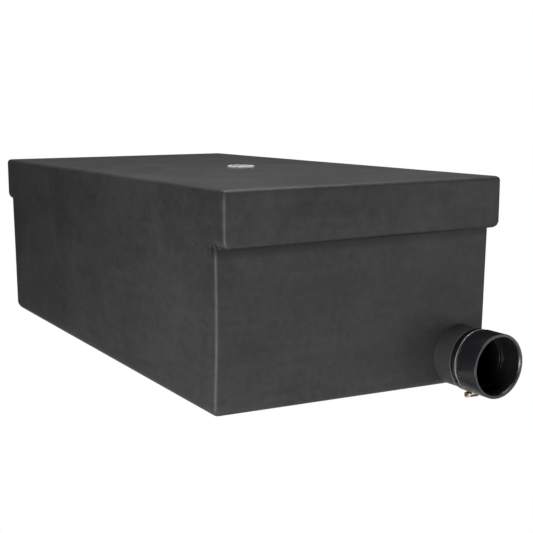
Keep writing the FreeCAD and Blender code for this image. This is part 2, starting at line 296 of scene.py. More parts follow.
def turned(outline, centre, axis, steps):
    """A bmesh turned about an axis from an outline of (radius, along) points."""
    up, side = ring_frame(axis)
    rings = []
    for i in range(steps):
        angle = TURN * i / steps
        out = up * math.cos(angle) + side * math.sin(angle)
        rings.append([centre + out * radius + axis * along for radius, along in outline])
    return sweep_rings(rings)


def rod(radius, start, end, steps=96):
    """A bmesh round bar between two points."""
    axis = (end - start).normalized()
    up, side = ring_frame(axis)
    rings = []
    for centre in (start, end):
        angles = [TURN * i / steps for i in range(steps)]
        rings.append([centre + (up * math.cos(a) + side * math.sin(a)) * radius for a in angles])
    return sweep_rings(rings, closed_round=False)


# ---------------------------------------------------------------- finishes


class Finish:
    """A material under construction, with short names for the nodes that the finishes share."""

    def __init__(self, name, base, roughness=0.5, metallic=0.0):
        self.material = bpy.data.materials.new(name)
        self.material.use_nodes = True
        self.nodes = self.material.node_tree.nodes
        self.links = self.material.node_tree.links
        self.shader = self.nodes["Principled BSDF"]
        self.shader.inputs["Base Color"].default_value = (*base, 1.0)
        self.shader.inputs["Roughness"].default_value = roughness
        self.shader.inputs["Metallic"].default_value = metallic
        self.coordinates = self.nodes.new("ShaderNodeTexCoord").outputs["Object"]
        self.normal = None

    def stretch(self, scale):
        """Object coordinates scaled by an amount per axis."""
        node = self.nodes.new("ShaderNodeMapping")
        node.inputs["Scale"].default_value = scale
        self.links.new(self.coordinates, node.inputs["Vector"])
        return node.outputs["Vector"]

    def noise(self, scale, detail=3.0, rough=0.5, distort=0.0, vector=None):
        """A noise pattern from 0 to 1."""
        node = self.nodes.new("ShaderNodeTexNoise")
        node.inputs["Scale"].default_value = scale
        node.inputs["Detail"].default_value = detail
        node.inputs["Roughness"].default_value = rough
        node.inputs["Distortion"].default_value = distort
        self.links.new(vector or self.coordinates, node.inputs["Vector"])
        return node.outputs["Fac"]

    def ranged(self, value, low, high, to_low=0.0, to_high=1.0):
        """A value remapped from one range to another, and clamped there."""
        node = self.nodes.new("ShaderNodeMapRange")
        for label, number in zip(("From Min", "From Max", "To Min", "To Max"), (low, high, to_low, to_high)):
            node.inputs[label].default_value = number
        self.links.new(value, node.inputs["Value"])
        return node.outputs["Result"]

    def place(self, axis):
        """The position along one axis of the frame."""
        parts = self.nodes.new("ShaderNodeSeparateXYZ")
        self.links.new(self.coordinates, parts.inputs[0])
        return parts.outputs[axis]

    def distance(self, axis, middle):
        """How far away a plane across one axis is."""
        return self.maths("ABSOLUTE", self.maths("SUBTRACT", self.place(axis), middle), 0.0)

    def maths(self, operation, first, second):
        """A sum or product of two patterns, or of a pattern and a number."""
        node = self.nodes.new("ShaderNodeMath")
        node.operation = operation
        self.links.new(first, node.inputs[0])
        if isinstance(second, (int, float)):
            node.inputs[1].default_value = second
        else:
            self.links.new(second, node.inputs[1])
        return node.outputs[0]

    def blend(self, factor, first, second):
        """A colour between two, by a pattern. Each colour is a tuple or another blend."""
        node = self.nodes.new("ShaderNodeMix")
        node.data_type = "RGBA"
        self.links.new(factor, node.inputs["Factor"])
        sockets = [socket for socket in node.inputs if socket.type == "RGBA"]
        for socket, value in zip(sockets, (first, second)):
            if isinstance(value, tuple):
                socket.default_value = (*value, 1.0)
            else:
                self.links.new(value, socket)
        return next(socket for socket in node.outputs if socket.type == "RGBA")

    def colour(self, value):
        self.links.new(value, self.shader.inputs["Base Color"])

    def rough(self, value):
        self.links.new(value, self.shader.inputs["Roughness"])

    def bump(self, height, distance, strength=1.0):
        """Adds a layer of bump on top of the ones before."""
        node = self.nodes.new("ShaderNodeBump")
        node.inputs["Distance"].default_value = distance
        node.inputs["Strength"].default_value = strength
        self.links.new(height, node.inputs["Height"])
        if self.normal is not None:
            self.links.new(self.normal, node.inputs["Normal"])
        self.normal = node.outputs["Normal"]
        self.links.new(self.normal, self.shader.inputs["Normal"])


def scaled(value, factor):
    """A colour made lighter or darker."""
    return tuple(min(1.0, part * factor) for part in value)


def moulded_polyethylene(sizes):
    """Matte black polyethylene: clouded and faintly streaked, with the mould's grain and a few scuffs, and with
    painted shade under the lips and on the spout.
    """
    finish = Finish("moulded_polyethylene", sizes.dark)
    finish.shader.inputs["Specular IOR Level"].default_value = 0.42
    clouds = finish.noise(7.0, 5.0, 0.6, 0.4)
    mottle = finish.noise(90.0, 4.0, 0.65)
    streaks = finish.noise(1.0, 4.0, 0.6, vector=finish.stretch((9.0, 9.0, 80.0)))
    tone = finish.maths("ADD", finish.maths("MULTIPLY", clouds, 0.55), finish.maths("MULTIPLY", mottle, 0.45))
    tone = finish.maths("ADD", tone, finish.maths("MULTIPLY", streaks, 0.20))
    body = finish.blend(finish.ranged(tone, 0.46, 0.74), tuple(sizes.dark), tuple(sizes.pale))
    along = finish.noise(1.0, 6.0, 0.7, 1.2, vector=finish.stretch((11.0, 240.0, 60.0)))
    scuffs = finish.ranged(along, 0.70, 0.80, 0.0, 0.55)
    body = finish.blend(scuffs, body, scaled(sizes.pale, 2.0))
    # Painted shade: the crease under each lip is darkened in the colour.
    body = finish.blend(lip_shade(finish), body, scaled(sizes.dark, 0.3))
    # Painted shade: the spout is drawn darker than the wall round it.
    finish.colour(finish.blend(spout_painted_shade(finish), body, scaled(sizes.dark, 1.4)))
    finish.rough(finish.ranged(finish.noise(24.0, 4.0, 0.6), 0.3, 0.7, 0.53, 0.60))
    finish.bump(finish.noise(330.0, 3.0, 0.6), 0.00022, 0.75)
    finish.bump(finish.noise(60.0, 3.0, 0.5), 0.0004, 0.10)
    finish.bump(scuffs, 0.0001, 0.3)
    return finish.material


def lip_shade(finish):
    """1 in the crease under the lips near the ends, where painted shade darkens the plastic, and 0 elsewhere."""
    body_half = bpy.context.scene.tank_shell.body_length / 2
    near_end = finish.ranged(finish.distance("Y", MIDDLE_Y), body_half - 0.014, body_half - 0.008)
    under = finish.ranged(finish.place("Z"), LIP_REST_Z + 0.005, LIP_REST_Z + 0.002)
    fading = finish.ranged(finish.place("Z"), LIP_REST_Z - 0.018, LIP_REST_Z - 0.003)
    return finish.maths("MULTIPLY", near_end, finish.maths("MULTIPLY", under, fading))


def spout_painted_shade(finish):
    """1 on the spout, where painted shade makes the plastic darker, and 0 elsewhere."""
    wall = MIDDLE_Y - bpy.context.scene.tank_shell.body_length / 2
    beyond_wall = finish.ranged(finish.place("Y"), wall + 0.007, wall - 0.004, 0.0, 0.85)
    below_lip = finish.ranged(finish.place("Z"), LIP_REST_Z - 0.05, LIP_REST_Z - 0.06)
    return finish.maths("MULTIPLY", beyond_wall, below_lip)


def glossy_hub_plastic(sizes):
    """Glossy black drain plastic with fine flow marks and handling scuffs."""
    finish = Finish("glossy_hub_plastic", sizes.hub_black, roughness=0.28)
    smudges = finish.noise(38.0, 4.0, 0.6)
    hairlines = finish.noise(1.0, 5.0, 0.6, vector=finish.stretch((160.0, 900.0, 160.0)))
    finish.colour(finish.blend(finish.ranged(hairlines, 0.60, 0.78), tuple(sizes.hub_black),
                               scaled(sizes.hub_black, 2.6)))
    finish.rough(finish.ranged(smudges, 0.35, 0.7, 0.24, 0.36))
    finish.bump(finish.noise(22.0, 2.0, 0.5), 0.0006, 0.12)
    finish.bump(hairlines, 0.00004, 0.25)
    return finish.material


def seal_rubber(sizes):
    """Soft matte black rubber with a fine bloom."""
    finish = Finish("seal_rubber", sizes.seal_black, roughness=0.7)
    bloom = finish.noise(120.0, 4.0, 0.6)
    finish.colour(finish.blend(finish.ranged(bloom, 0.4, 0.75), tuple(sizes.seal_black),
                               scaled(sizes.seal_black, 2.2)))
    finish.rough(finish.ranged(bloom, 0.3, 0.7, 0.58, 0.78))
    finish.bump(finish.noise(900.0, 2.0), 0.00008, 0.4)
    return finish.material


def rolled_steel(sizes):
    """Rolled stainless strip: dark and tarnished along its middle, with a painted highlight along its edges."""
    finish = Finish("rolled_steel", sizes.steel, metallic=1.0)
    lines = finish.noise(1.0, 4.0, 0.7, vector=finish.stretch((60.0, 5200.0, 60.0)))
    tarnish = finish.noise(210.0, 4.0, 0.6)
    # The band's two edges, which get a painted highlight.
    edges = finish.ranged(finish.distance("Y", (BAND_LOW.y + BAND_HIGH.y) / 2), 0.0044, 0.0056)
    tarnished = finish.ranged(tarnish, 0.42, 0.72)
    middle = finish.blend(tarnished, scaled(sizes.steel, 0.34), scaled(sizes.steel, 0.16))
    # Painted highlight: the edges are drawn much brighter than the middle.
    finish.colour(finish.blend(edges, middle, scaled(sizes.steel, 2.4)))
    worn = finish.maths("MULTIPLY", edges, 0.15)
    finish.rough(finish.maths("ADD", finish.ranged(lines, 0.3, 0.7, 0.22, 0.40), worn))
    finish.bump(lines, 0.00003, 0.5)
    return finish.material


def zinc_plating(sizes):
    """Yellow zinc plating with bright worn patches."""
    finish = Finish("zinc_plating", sizes.plating, metallic=1.0)
    wear = finish.noise(420.0, 4.0, 0.6)
    finish.colour(finish.blend(finish.ranged(wear, 0.45, 0.62), tuple(sizes.plating), (0.66, 0.64, 0.60)))
    finish.rough(finish.ranged(wear, 0.3, 0.7, 0.34, 0.22))
    finish.bump(finish.noise(1600.0, 2.0), 0.00003, 0.5)
    return finish.material


def port_plastic(sizes):
    """Natural, slightly waxy plastic with dirt in its low places."""
    finish = Finish("port_plastic", sizes.plastic, roughness=0.38)
    finish.shader.inputs["Subsurface Weight"].default_value = 0.12
    finish.shader.inputs["Subsurface Scale"].default_value = 0.003
    dirt = finish.noise(150.0, 5.0, 0.65)
    finish.colour(finish.blend(finish.ranged(dirt, 0.50, 0.78), tuple(sizes.plastic), scaled(sizes.plastic, 0.62)))
    finish.rough(finish.ranged(dirt, 0.3, 0.7, 0.30, 0.48))
    finish.bump(finish.noise(500.0, 3.0), 0.00006, 0.4)
    return finish.material


# ---------------------------------------------------------------- moulded shell


def shell_cage(sizes, inset):
    """The sharp-edged body and lips as a bmesh, drawn in by inset on every side."""
    lip_height = TOP_Z - LIP_REST_Z
    overhang = SHELL_HIGH.y - MIDDLE_Y - sizes.body_length / 2
    slope_x = sizes.fall_across / (2 * HALF_WIDTH)
    slope_y = sizes.fall_along / sizes.body_length
    lean = inset * math.hypot(1.0, sizes.end_draft)
    rise = inset * math.sqrt(1.0 + slope_x ** 2 + slope_y ** 2)
    half = sizes.body_length / 2

    def floor_corner(x, end):
        """Along and down to the floor corner at one side and end."""
        from_near = half + end * (half - lean)
        level = sizes.depth + slope_x * (x + HALF_WIDTH) - slope_y * from_near - rise
        down = level / (1.0 - slope_y * end * sizes.end_draft)
        return Vector((x, MIDDLE_Y + end * (half - lean - sizes.end_draft * down), TOP_Z - down))

    def side_outline(x):
        """The side's corners, from the outlet end's top edge over the far end and back."""
        top, under = TOP_Z - inset, LIP_REST_Z + inset
        tip = half + overhang - inset
        root = half - lean - sizes.end_draft * (lip_height - inset)
        return [Vector((x, MIDDLE_Y - tip, top)), Vector((x, MIDDLE_Y + tip, top)),
                Vector((x, MIDDLE_Y + tip, under)), Vector((x, MIDDLE_Y + root, under)),
                floor_corner(x, 1), floor_corner(x, -1),
                Vector((x, MIDDLE_Y - root, under)), Vector((x, MIDDLE_Y - tip, under))]

    sides = [side_outline(side * (HALF_WIDTH - inset)) for side in (-1, 1)]
    return sweep_rings(sides, closed_round=False)


def stations(low, high, step):
    """Evenly spaced places from low to high, about a step apart."""
    count = max(1, round((high - low) / step))
    return [low + (high - low) * i / count for i in range(count + 1)]


def add_grid(bm, sizes):
    """Cuts the cage's flat walls into a grid, clear of the edges that are rounded later."""
    edge = sizes.grid_margin
    body_end = sizes.body_length / 2 - sizes.end_margin
    cuts = [(Vector((1, 0, 0)), x) for x in stations(edge - HALF_WIDTH, HALF_WIDTH - edge, sizes.grid)]
    along = stations(MIDDLE_Y - body_end, MIDDLE_Y + body_end - sizes.end_step, sizes.grid)
    lip_middle = SHELL_HIGH.y - sizes.lip_line
    along += [lip_middle, 2 * MIDDLE_Y - lip_middle]
    cuts += [(Vector((0, 1, 0)), y) for y in along]
    down = stations(LIP_REST_Z + edge, TOP_Z - edge, sizes.grid)
    shallow_floor = TOP_Z - sizes.depth + sizes.fall_along
    down += stations(shallow_floor + 1.15 * sizes.far_floor, LIP_REST_Z - edge, sizes.grid)
    cuts += [(Vector((0, 0, 1)), z) for z in down]
    for normal, place in cuts:
        everything = bm.verts[:] + bm.edges[:] + bm.faces[:]
        bmesh.ops.bisect_plane(bm, geom=everything, plane_co=normal * place, plane_no=normal)


def round_edges(piece, sizes):
    """Rounds the sharp edges by weight: the far floor edge most, the corners under the lips least."""
    bm = bmesh.new()
    bm.from_mesh(piece.data)
    weight = bm.edges.layers.float.new("bevel_weight_edge")
    low_z = TOP_Z - sizes.depth + sizes.fall_along + sizes.floor_edge
    for edge in bm.edges:
        if len(edge.link_faces) != 2 or edge.calc_face_angle() < math.radians(20):
            continue
        middle = (edge.verts[0].co + edge.verts[1].co) / 2
        span = edge.verts[0].co - edge.verts[1].co
        across = abs(span.x) > abs(span.y) and abs(span.x) > abs(span.z)
        upright = abs(span.z) > abs(span.x) and abs(span.z) > abs(span.y)
        radius = sizes.top_edge
        if not edge.is_convex:
            radius = sizes.inside_corner
        elif upright:
            radius = sizes.corner
        elif middle.z < low_z:
            radius = sizes.far_floor if across and middle.y > MIDDLE_Y else sizes.floor_edge
        elif abs(middle.z - LIP_REST_Z) < 0.001 and not across:
            radius = sizes.lip_end
        edge[weight] = radius / sizes.far_floor
    bm.to_mesh(piece.data)
    bm.free()
    modifier = piece.modifiers.new("edges", "BEVEL")
    modifier.width = sizes.far_floor
    modifier.segments = 6
    modifier.limit_method = "WEIGHT"
    modifier.use_clamp_overlap = False
    apply_modifiers(piece)


def cooled(point, sizes):
    """Where a point of the moulded wall ends up once the walls have cooled and drawn in."""
    lip_height = TOP_Z - LIP_REST_Z
    below_lip = min(1.0, max(0.0, (TOP_Z - point.z - lip_height) / (sizes.depth - lip_height)))
    near = min(1.0, max(0.0, (MIDDLE_Y - point.y) / (sizes.body_length / 2)))
    across = point.x / HALF_WIDTH
    along = (point.y - MIDDLE_Y) / (sizes.body_length / 2)
    slow = 0.5 + 0.5 * noise.noise(point * 6.5)
    quick = 0.5 + 0.5 * noise.noise(point * 19.0 + Vector((3.1, 1.7, 5.3)))
    ripple = sizes.ripple * (0.75 * slow + 0.25 * quick)
    bow = sizes.bow * near ** 2 * math.sin(math.pi * below_lip)
    moved = point.copy()
    moved.x -= across ** 3 * ripple - max(0.0, -across) ** 3 * bow
    moved.y -= along ** 5 * ripple
    height = (point.z - (TOP_Z - sizes.depth)) / sizes.depth
    moved.z -= max(0.0, height) ** 4 * ripple
    return moved


def wall_skin(name, sizes, inset):
    """A closed skin of the shell: the outside with no inset, or the hollow drawn in by the wall."""
    bm = shell_cage(sizes, inset)
    add_grid(bm, sizes)
    piece = add_mesh(name, bm)
    if inset == 0.0:
        round_edges(piece, sizes)
    for vertex in piece.data.vertices:
        vertex.co = cooled(vertex.co, sizes)
    return piece


def spout_edge(piece, sizes):
    """Lets the thin cut edge of the spout wander a little where the clamp squeezes it."""
    reach = 0.007
    start = SHELL_LOW.y
    for vertex in piece.data.vertices:
        out = Vector((vertex.co.x - OUTLET.x, 0.0, vertex.co.z - OUTLET.z))
        if vertex.co.y > start + reach or out.length > 1.2 * sizes.spout_radius:
            continue
        angle = math.atan2(out.z, out.x)
        wave = math.sin(3 * angle + 0.8) + 0.6 * math.sin(7 * angle + 2.1)
        share = 1.0 - (vertex.co.y - start) / reach
        vertex.co.y += 0.0005 * share * (1.6 + wave)
        if out.length > (sizes.spout_radius + sizes.spout_bore) / 2:
            vertex.co -= out.normalized() * 0.0004 * share * (1.6 - wave)


def build_shell(sizes):
    """The one-piece shell, hollow, with its spout and the boss round the top port."""
    shell = wall_skin("moulded_shell", sizes, 0.0)
    steps = 128
    near_wall = MIDDLE_Y - sizes.body_length / 2
    mouth = Vector((OUTLET.x, SHELL_LOW.y, OUTLET.z))
    root = Vector((OUTLET.x, near_wall + 0.016, OUTLET.z))
    bore_root = Vector((OUTLET.x, near_wall + 0.0135, OUTLET.z))
    outward = Vector((0, -1, 0))
    combine(shell, add_mesh("spout", spout_rod(sizes, mouth, root, steps)), "UNION")

    hollow = wall_skin("hollow", sizes, sizes.wall)
    boss_top = Vector((PORT.x, PORT.y, TOP_Z + 0.01))
    boss_foot = Vector((PORT.x, PORT.y, TOP_Z - sizes.boss_depth))
    combine(hollow, add_mesh("boss", rod(sizes.boss_radius, boss_foot, boss_top, steps)), "DIFFERENCE")
    combine(shell, hollow, "DIFFERENCE")
    combine(shell, add_mesh("bore", rod(sizes.spout_bore, mouth + outward * 0.01, bore_root, steps)), "DIFFERENCE")
    port_radius = bpy.context.scene.tank_port.radius
    hole_foot = Vector((PORT.x, PORT.y, TOP_Z - 0.04))
    combine(shell, add_mesh("hole", rod(port_radius, hole_foot, boss_top, steps)), "DIFFERENCE")
    spout_edge(shell, sizes)
    fit_out(shell, "tank", "tank_shell", moulded_polyethylene(sizes), math.radians(38))


def spout_rod(sizes, mouth, root, steps):
    """The spout's solid, ringed near its mouth so that its edge can wander."""
    axis = (root - mouth).normalized()
    up, side = ring_frame(axis)
    chamfer = 0.0006
    places = [(0.0, -chamfer), (chamfer, 0.0), (0.0025, 0.0), (0.005, 0.0), (0.0085, 0.0),
              (0.016, 0.0), (0.026, 0.0), ((root - mouth).length, 0.0)]
    rings = []
    for along, grow in places:
        angles = [TURN * i / steps for i in range(steps)]
        radius = sizes.spout_radius + grow
        rings.append([mouth + axis * along + (up * math.cos(a) + side * math.sin(a)) * radius for a in angles])
    return sweep_rings(rings, closed_round=False)


# ---------------------------------------------------------------- outlet


def build_hub(sizes):
    """The drain hub: socket, stop ledge, shoulder and spigot, turned about the outlet."""
    front = HUB_LOW.y
    shoulder = SEAL_LOW.y - 0.0003
    ledge = front + sizes.socket_depth
    back = HUB_HIGH.y
    mouth = SOCKET_R + sizes.mouth_chamfer
    corners = [
        (mouth, front, 0.0005), (sizes.hub_radius, front, 0.0011), (sizes.hub_radius, shoulder, 0.0024),
        (sizes.spigot_radius + 0.0006, shoulder, 0.0), (sizes.spigot_radius, shoulder + 0.0006, 0.0),
        (sizes.spigot_radius, back, 0.0009), (sizes.pipe_bore, back, 0.0006),
        (sizes.pipe_bore, ledge, 0.0007), (SOCKET_R, ledge, 0.0004),
        (SOCKET_R, front + sizes.mouth_chamfer * 1.6, 0.0015)]
    outline = [(point.x, point.y) for point in rounded_outline(corners, 6)]
    centre = Vector((OUTLET.x, 0.0, OUTLET.z))
    hub = add_mesh("drain_hub", turned(outline, centre, Vector((0, 1, 0)), 160))
    mark_parting_line(hub, sizes)
    fit_out(hub, "hub", "outlet_hub", glossy_hub_plastic(sizes), math.radians(40))


def mark_parting_line(hub, sizes):
    """Draws the hub's barrel in a little beside the mould's parting line, which is left standing."""
    for vertex in hub.data.vertices:
        out = Vector((vertex.co.x - OUTLET.x, 0.0, vertex.co.z - OUTLET.z))
        if out.length < sizes.hub_radius - 0.0003:
            continue
        angle = abs(math.sin(math.atan2(out.z, out.x) + 0.35))
        if angle > 0.03:
            vertex.co -= out.normalized() * 0.00012


def build_seal(sizes, shell_sizes):
    """The rubber sleeve, with the bead that shows between the spout and the hub."""
    front = SEAL_LOW.y
    bead_back = SHELL_LOW.y
    back = SEAL_HIGH.y
    corners = [
        (sizes.seal_bore, front, 0.0003), (sizes.bead_radius, front, 0.0011),
        (sizes.bead_radius, bead_back, 0.0009), (shell_sizes.spout_bore, bead_back, 0.0),
        (shell_sizes.spout_bore, back, 0.0004), (sizes.seal_bore, back, 0.0004)]
    outline = [(point.x, point.y) for point in rounded_outline(corners, 4)]
    centre = Vector((OUTLET.x, 0.0, OUTLET.z))
    seal = add_mesh("spigot_seal", turned(outline, centre, Vector((0, 1, 0)), 128))
    for vertex in seal.data.vertices:
        out = Vector((vertex.co.x - OUTLET.x, 0.0, vertex.co.z - OUTLET.z))
        if out.length > shell_sizes.spout_bore + 0.0004:
            angle = math.atan2(out.z, out.x)
            wave = 0.5 + 0.5 * math.sin(5 * angle + 1.0) * math.cos(2 * angle)
            vertex.co -= out.normalized() * 0.0007 * wave
    fit_out(seal, "tank", "outlet_seal", seal_rubber(sizes))


# ---------------------------------------------------------------- worm clamp

BAND_END = math.radians(-10.0)
RAMP = math.radians(14.0)
TAIL_END = math.radians(52.0)
SLOT_STEP = math.radians(3.6)


def clamp_place():
    """The clamp's own axes: X along the worm towards its head, Y along the outlet, Z out at the housing."""
    along = Vector(SCREW_JOINT["axis"]).normalized()
    worm = Vector(SCREW_JOINT["pos_m"])
    centre = Vector((OUTLET.x, worm.y, OUTLET.z))
    out = (worm - centre).normalized()
    place = Matrix((along, along.cross(out) * -1.0, out)).transposed().to_4x4()
    place.translation = centre
    return place, (worm - centre).length


def strip_rings(radius_at, start, end, width, thickness, steps, width_at=None):
    """Cross sections of a strip wound about Y, from angle to angle, with softened edges."""
    soft = thickness * 0.42
    section = [(point.x, point.y) for point in rounded_outline([
        (-width / 2, 0.0, soft), (width / 2, 0.0, soft),
        (width / 2, thickness, soft), (-width / 2, thickness, soft)], 2)]
    rings = []
    for i in range(steps + 1):
        angle = start + (end - start) * i / steps
        out = Vector((math.sin(angle), 0.0, math.cos(angle)))
        narrow = width_at(angle) if width_at else 1.0
        rings.append([out * (radius_at(angle) + high) + Vector((0, across * narrow, 0))
                      for across, high in section])
    return rings


def slot_cutter(bm, angle, radius, sizes):
    """Adds one leaning slot's cutter to a bmesh."""
    turn = Matrix.Rotation(angle, 4, "Y") @ Matrix.Translation((0, 0, radius))
    lean = Matrix.Rotation(math.radians(8.0), 4, "Z")
    size = Matrix.Diagonal((sizes.slot_width, sizes.slot_length, sizes.thickness * 2.2, 1.0))
    bmesh.ops.create_cube(bm, size=1.0, matrix=turn @ lean @ size)


def build_band(sizes, shell_sizes):
    """The slotted band, once round the spout, up over its own end and on as a free tail."""
    place, _ = clamp_place()
    ring = shell_sizes.spout_radius
    tail = ring + sizes.thickness + sizes.saddle
    width = BAND_HIGH.y - BAND_LOW.y
    climb_end = TURN + BAND_END
    climb_start = climb_end - RAMP
    tail_end = TURN + TAIL_END
    tongue = math.radians(7.0)

    def radius_at(angle):
        share = min(1.0, max(0.0, (angle - climb_start) / RAMP))
        return ring + (tail - ring) * share

    def width_at(angle):
        left = max(0.0, (tail_end - angle) / tongue)
        return 1.0 if left >= 1.0 else 0.35 + 0.65 * math.sqrt(1.0 - (1.0 - left) ** 2)

    rings = strip_rings(radius_at, BAND_END, tail_end, width, sizes.thickness, 300, width_at)
    band = add_mesh("clamp_band_strip", sweep_rings(rings, closed_round=False))
    cutters = bmesh.new()
    for i in range(14):
        slot_cutter(cutters, SLOT_STEP * (i - 1), tail + sizes.thickness / 2, sizes)
    for i in range(12):
        slot_cutter(cutters, climb_start - SLOT_STEP * (i + 1), ring + sizes.thickness / 2, sizes)
    combine(band, add_mesh("slots", cutters), "DIFFERENCE")
    band.data.transform(place)
    fit_out(band, "tank", "clamp_band", steel_finish(sizes))


def steel_finish(sizes):
    """The one rolled steel finish that band, saddle and housing share."""
    return bpy.data.materials.get("rolled_steel") or rolled_steel(sizes)


def build_saddle(sizes, shell_sizes):
    """The plate between the band's two layers."""
    place, _ = clamp_place()
    radius = shell_sizes.spout_radius + sizes.thickness
    reach = math.radians(9.0)
    rings = strip_rings(lambda angle: radius, -reach, reach, sizes.saddle_width, sizes.saddle, 16)
    saddle = add_mesh("saddle_plate", sweep_rings(rings, closed_round=False))
    saddle.data.transform(place)
    fit_out(saddle, "tank", "clamp_saddle", steel_finish(sizes))


def build_housing(sizes, shell_sizes):
    """The pressed cover over the worm, with two pressed ribs and a skirt each side."""
    place, worm_radius = clamp_place()
    cover = sizes.worm_radius + sizes.worm_clear + sizes.housing_wall
    half_channel = sizes.saddle_width / 2
    half = half_channel + sizes.housing_skirt
    foot, shoulder = sizes.skirt_foot, sizes.shoulder
    arc = []
    arc_steps = 18
    for i in range(arc_steps + 1):
        angle = math.pi * i / arc_steps
        arc.append((cover * math.cos(angle), worm_radius + cover * math.sin(angle)))
    outline = [(-half, foot), (half, foot), (half, shoulder)] + arc + [(-half, shoulder)]
    half_length = sizes.housing_length / 2
    rings = []
    for x, swell in housing_stations(half_length):
        rings.append([Vector((x, y * (1.0 - swell), worm_radius + (z - worm_radius) * (1.0 - swell)))
                      if z > shoulder else Vector((x, y, z)) for y, z in outline])
    housing = add_mesh("worm_housing", sweep_rings(rings, closed_round=False))
    reach = Vector((half_length + 0.002, 0, 0))
    axis = Vector((0, 0, worm_radius))
    bore = rod(sizes.worm_radius + sizes.worm_clear, axis - reach, axis + reach, 48)
    combine(housing, add_mesh("worm_bore", bore), "DIFFERENCE")
    channel_radius = shell_sizes.spout_radius + 2 * sizes.thickness + sizes.saddle
    side = Vector((0, half_channel, 0))
    combine(housing, add_mesh("channel", rod(channel_radius, -side, side, 256)), "DIFFERENCE")
    soften(housing, 0.00022)
    housing.data.transform(place)
    fit_out(housing, "tank", "clamp_housing", steel_finish(sizes))


def housing_stations(half_length):
    """Places along the housing, with how far its cover is pressed in at each."""
    dip = 0.045
    rib = [(-0.62, dip), (-0.50, 0.0), (-0.36, 0.0), (-0.26, dip),
           (0.26, dip), (0.36, 0.0), (0.50, 0.0), (0.62, dip)]
    return [(-half_length, dip)] + [(half_length * share, swell) for share, swell in rib] + [(half_length, dip)]


def build_screw(sizes):
    """The worm screw: a true helix, a collar and tip, and a slotted hexagon head."""
    place, worm_radius = clamp_place()
    half = sizes.housing_length / 2 + sizes.end_gap
    root = sizes.worm_root
    collar = sizes.collar
    steps = 48
    rows = 96
    rings = [[Vector((-half - 0.001, *round_point(collar - 0.0003, j, steps))) for j in range(steps)],
             [Vector((-half - 0.0007, *round_point(collar, j, steps))) for j in range(steps)],
             [Vector((-half, *round_point(collar, j, steps))) for j in range(steps)]]
    for i in range(rows + 1):
        x = -half + 2 * half * i / rows
        ring = []
        for j in range(steps):
            phase = (x / sizes.worm_pitch - j / steps) % 1.0
            ridge = min(1.0, max(0.0, 1.9 - 5.2 * abs(phase - 0.5)))
            ends = min(1.0, (half - abs(x)) / 0.0008)
            ring.append(Vector((x, *round_point(root + (sizes.worm_radius - root) * ridge * ends, j, steps))))
        rings.append(ring)
    for x, radius in ((half, collar), (half + 0.0011, collar), (half + 0.0014, collar - 0.0003)):
        rings.append([Vector((x, *round_point(radius, j, steps))) for j in range(steps)])
    screw = add_mesh("worm_screw", sweep_rings(rings, closed_round=False))
    combine(screw, hex_head(sizes, half + 0.0013), "UNION")
    screw.data.transform(place @ Matrix.Translation((0, 0, worm_radius)))
    fit_out(screw, "screw", "clamp_screw", zinc_plating(sizes), math.radians(28))


def round_point(radius, step, steps):
    """The across and up parts of a point on a circle."""
    angle = TURN * step / steps
    return radius * math.cos(angle), radius * math.sin(angle)


def hex_head(sizes, start):
    """The hexagon head with chamfered corners and a driver slot, as its own object."""
    corner = sizes.head_flats / math.sqrt(3.0)
    end = start + sizes.head_length + 0.0001
    flats = [[Vector((x, corner * math.cos(TURN * (i + 0.5) / 6), corner * math.sin(TURN * (i + 0.5) / 6)))
              for i in range(6)] for x in (start, end)]
    head = add_mesh("hex_head", sweep_rings(flats, closed_round=False))
    dome = [(0.00001, start), (corner + 0.0001, start), (corner + 0.0001, end - 0.0006),
            (corner - 0.0012, end), (0.00001, end)]
    combine(head, add_mesh("dome", turned(dome, Vector((0, 0, 0)), Vector((1, 0, 0)), 64)), "INTERSECT")
    slot = bmesh.new()
    size = Matrix.Diagonal((0.0036, 0.012, 0.0013, 1.0))
    bmesh.ops.create_cube(slot, size=1.0, matrix=Matrix.Translation((end, 0, 0)) @ size)
    combine(head, add_mesh("driver_slot", slot), "DIFFERENCE")
    return head


# ---------------------------------------------------------------- top port


def build_port(sizes):
    """The threaded fitting in the top, with a real helix in its bore."""
    top, foot = PORT_HIGH.z, PORT_LOW.z
    steps = sizes.steps_round
    lead = 0.0016
    outer = [(sizes.radius, foot), (sizes.radius, top - 0.0012), (sizes.radius - 0.0004, top - 0.0004),
             (sizes.radius - 0.0012, top), (THREAD_R + sizes.thread_depth + 0.0006, top)]
    turn_rows = 9
    rows = int((top - foot - lead) / sizes.thread_pitch * turn_rows)
    rings = []
    for i in range(steps):
        angle = TURN * i / steps
        out = Vector((math.cos(angle), math.sin(angle), 0.0))
        ring = [Vector((PORT.x, PORT.y, z)) + out * radius for radius, z in outer]
        for row in range(rows + 1):
            z = top - 0.0005 - (top - 0.0005 - foot) * row / rows
            phase = (z / sizes.thread_pitch - i / steps) % 1.0
            groove = min(1.0, max(0.0, 2.6 * (0.5 - abs(phase - 0.5)) - 0.1))
            fade = min(1.0, max(0.0, (z - foot) / 0.002)) * sizes.thread_depth
            entry = max(0.0, 1.0 - (top - z) / lead) * sizes.thread_depth
            ring.append(Vector((PORT.x, PORT.y, z)) + out * (THREAD_R + max(groove * fade, entry)))
        rings.append(ring)
    port = add_mesh("threaded_port", sweep_rings(rings))
    fit_out(port, "tank", "top_port_fitting", port_plastic(sizes), math.radians(50))


# ---------------------------------------------------------------- stage


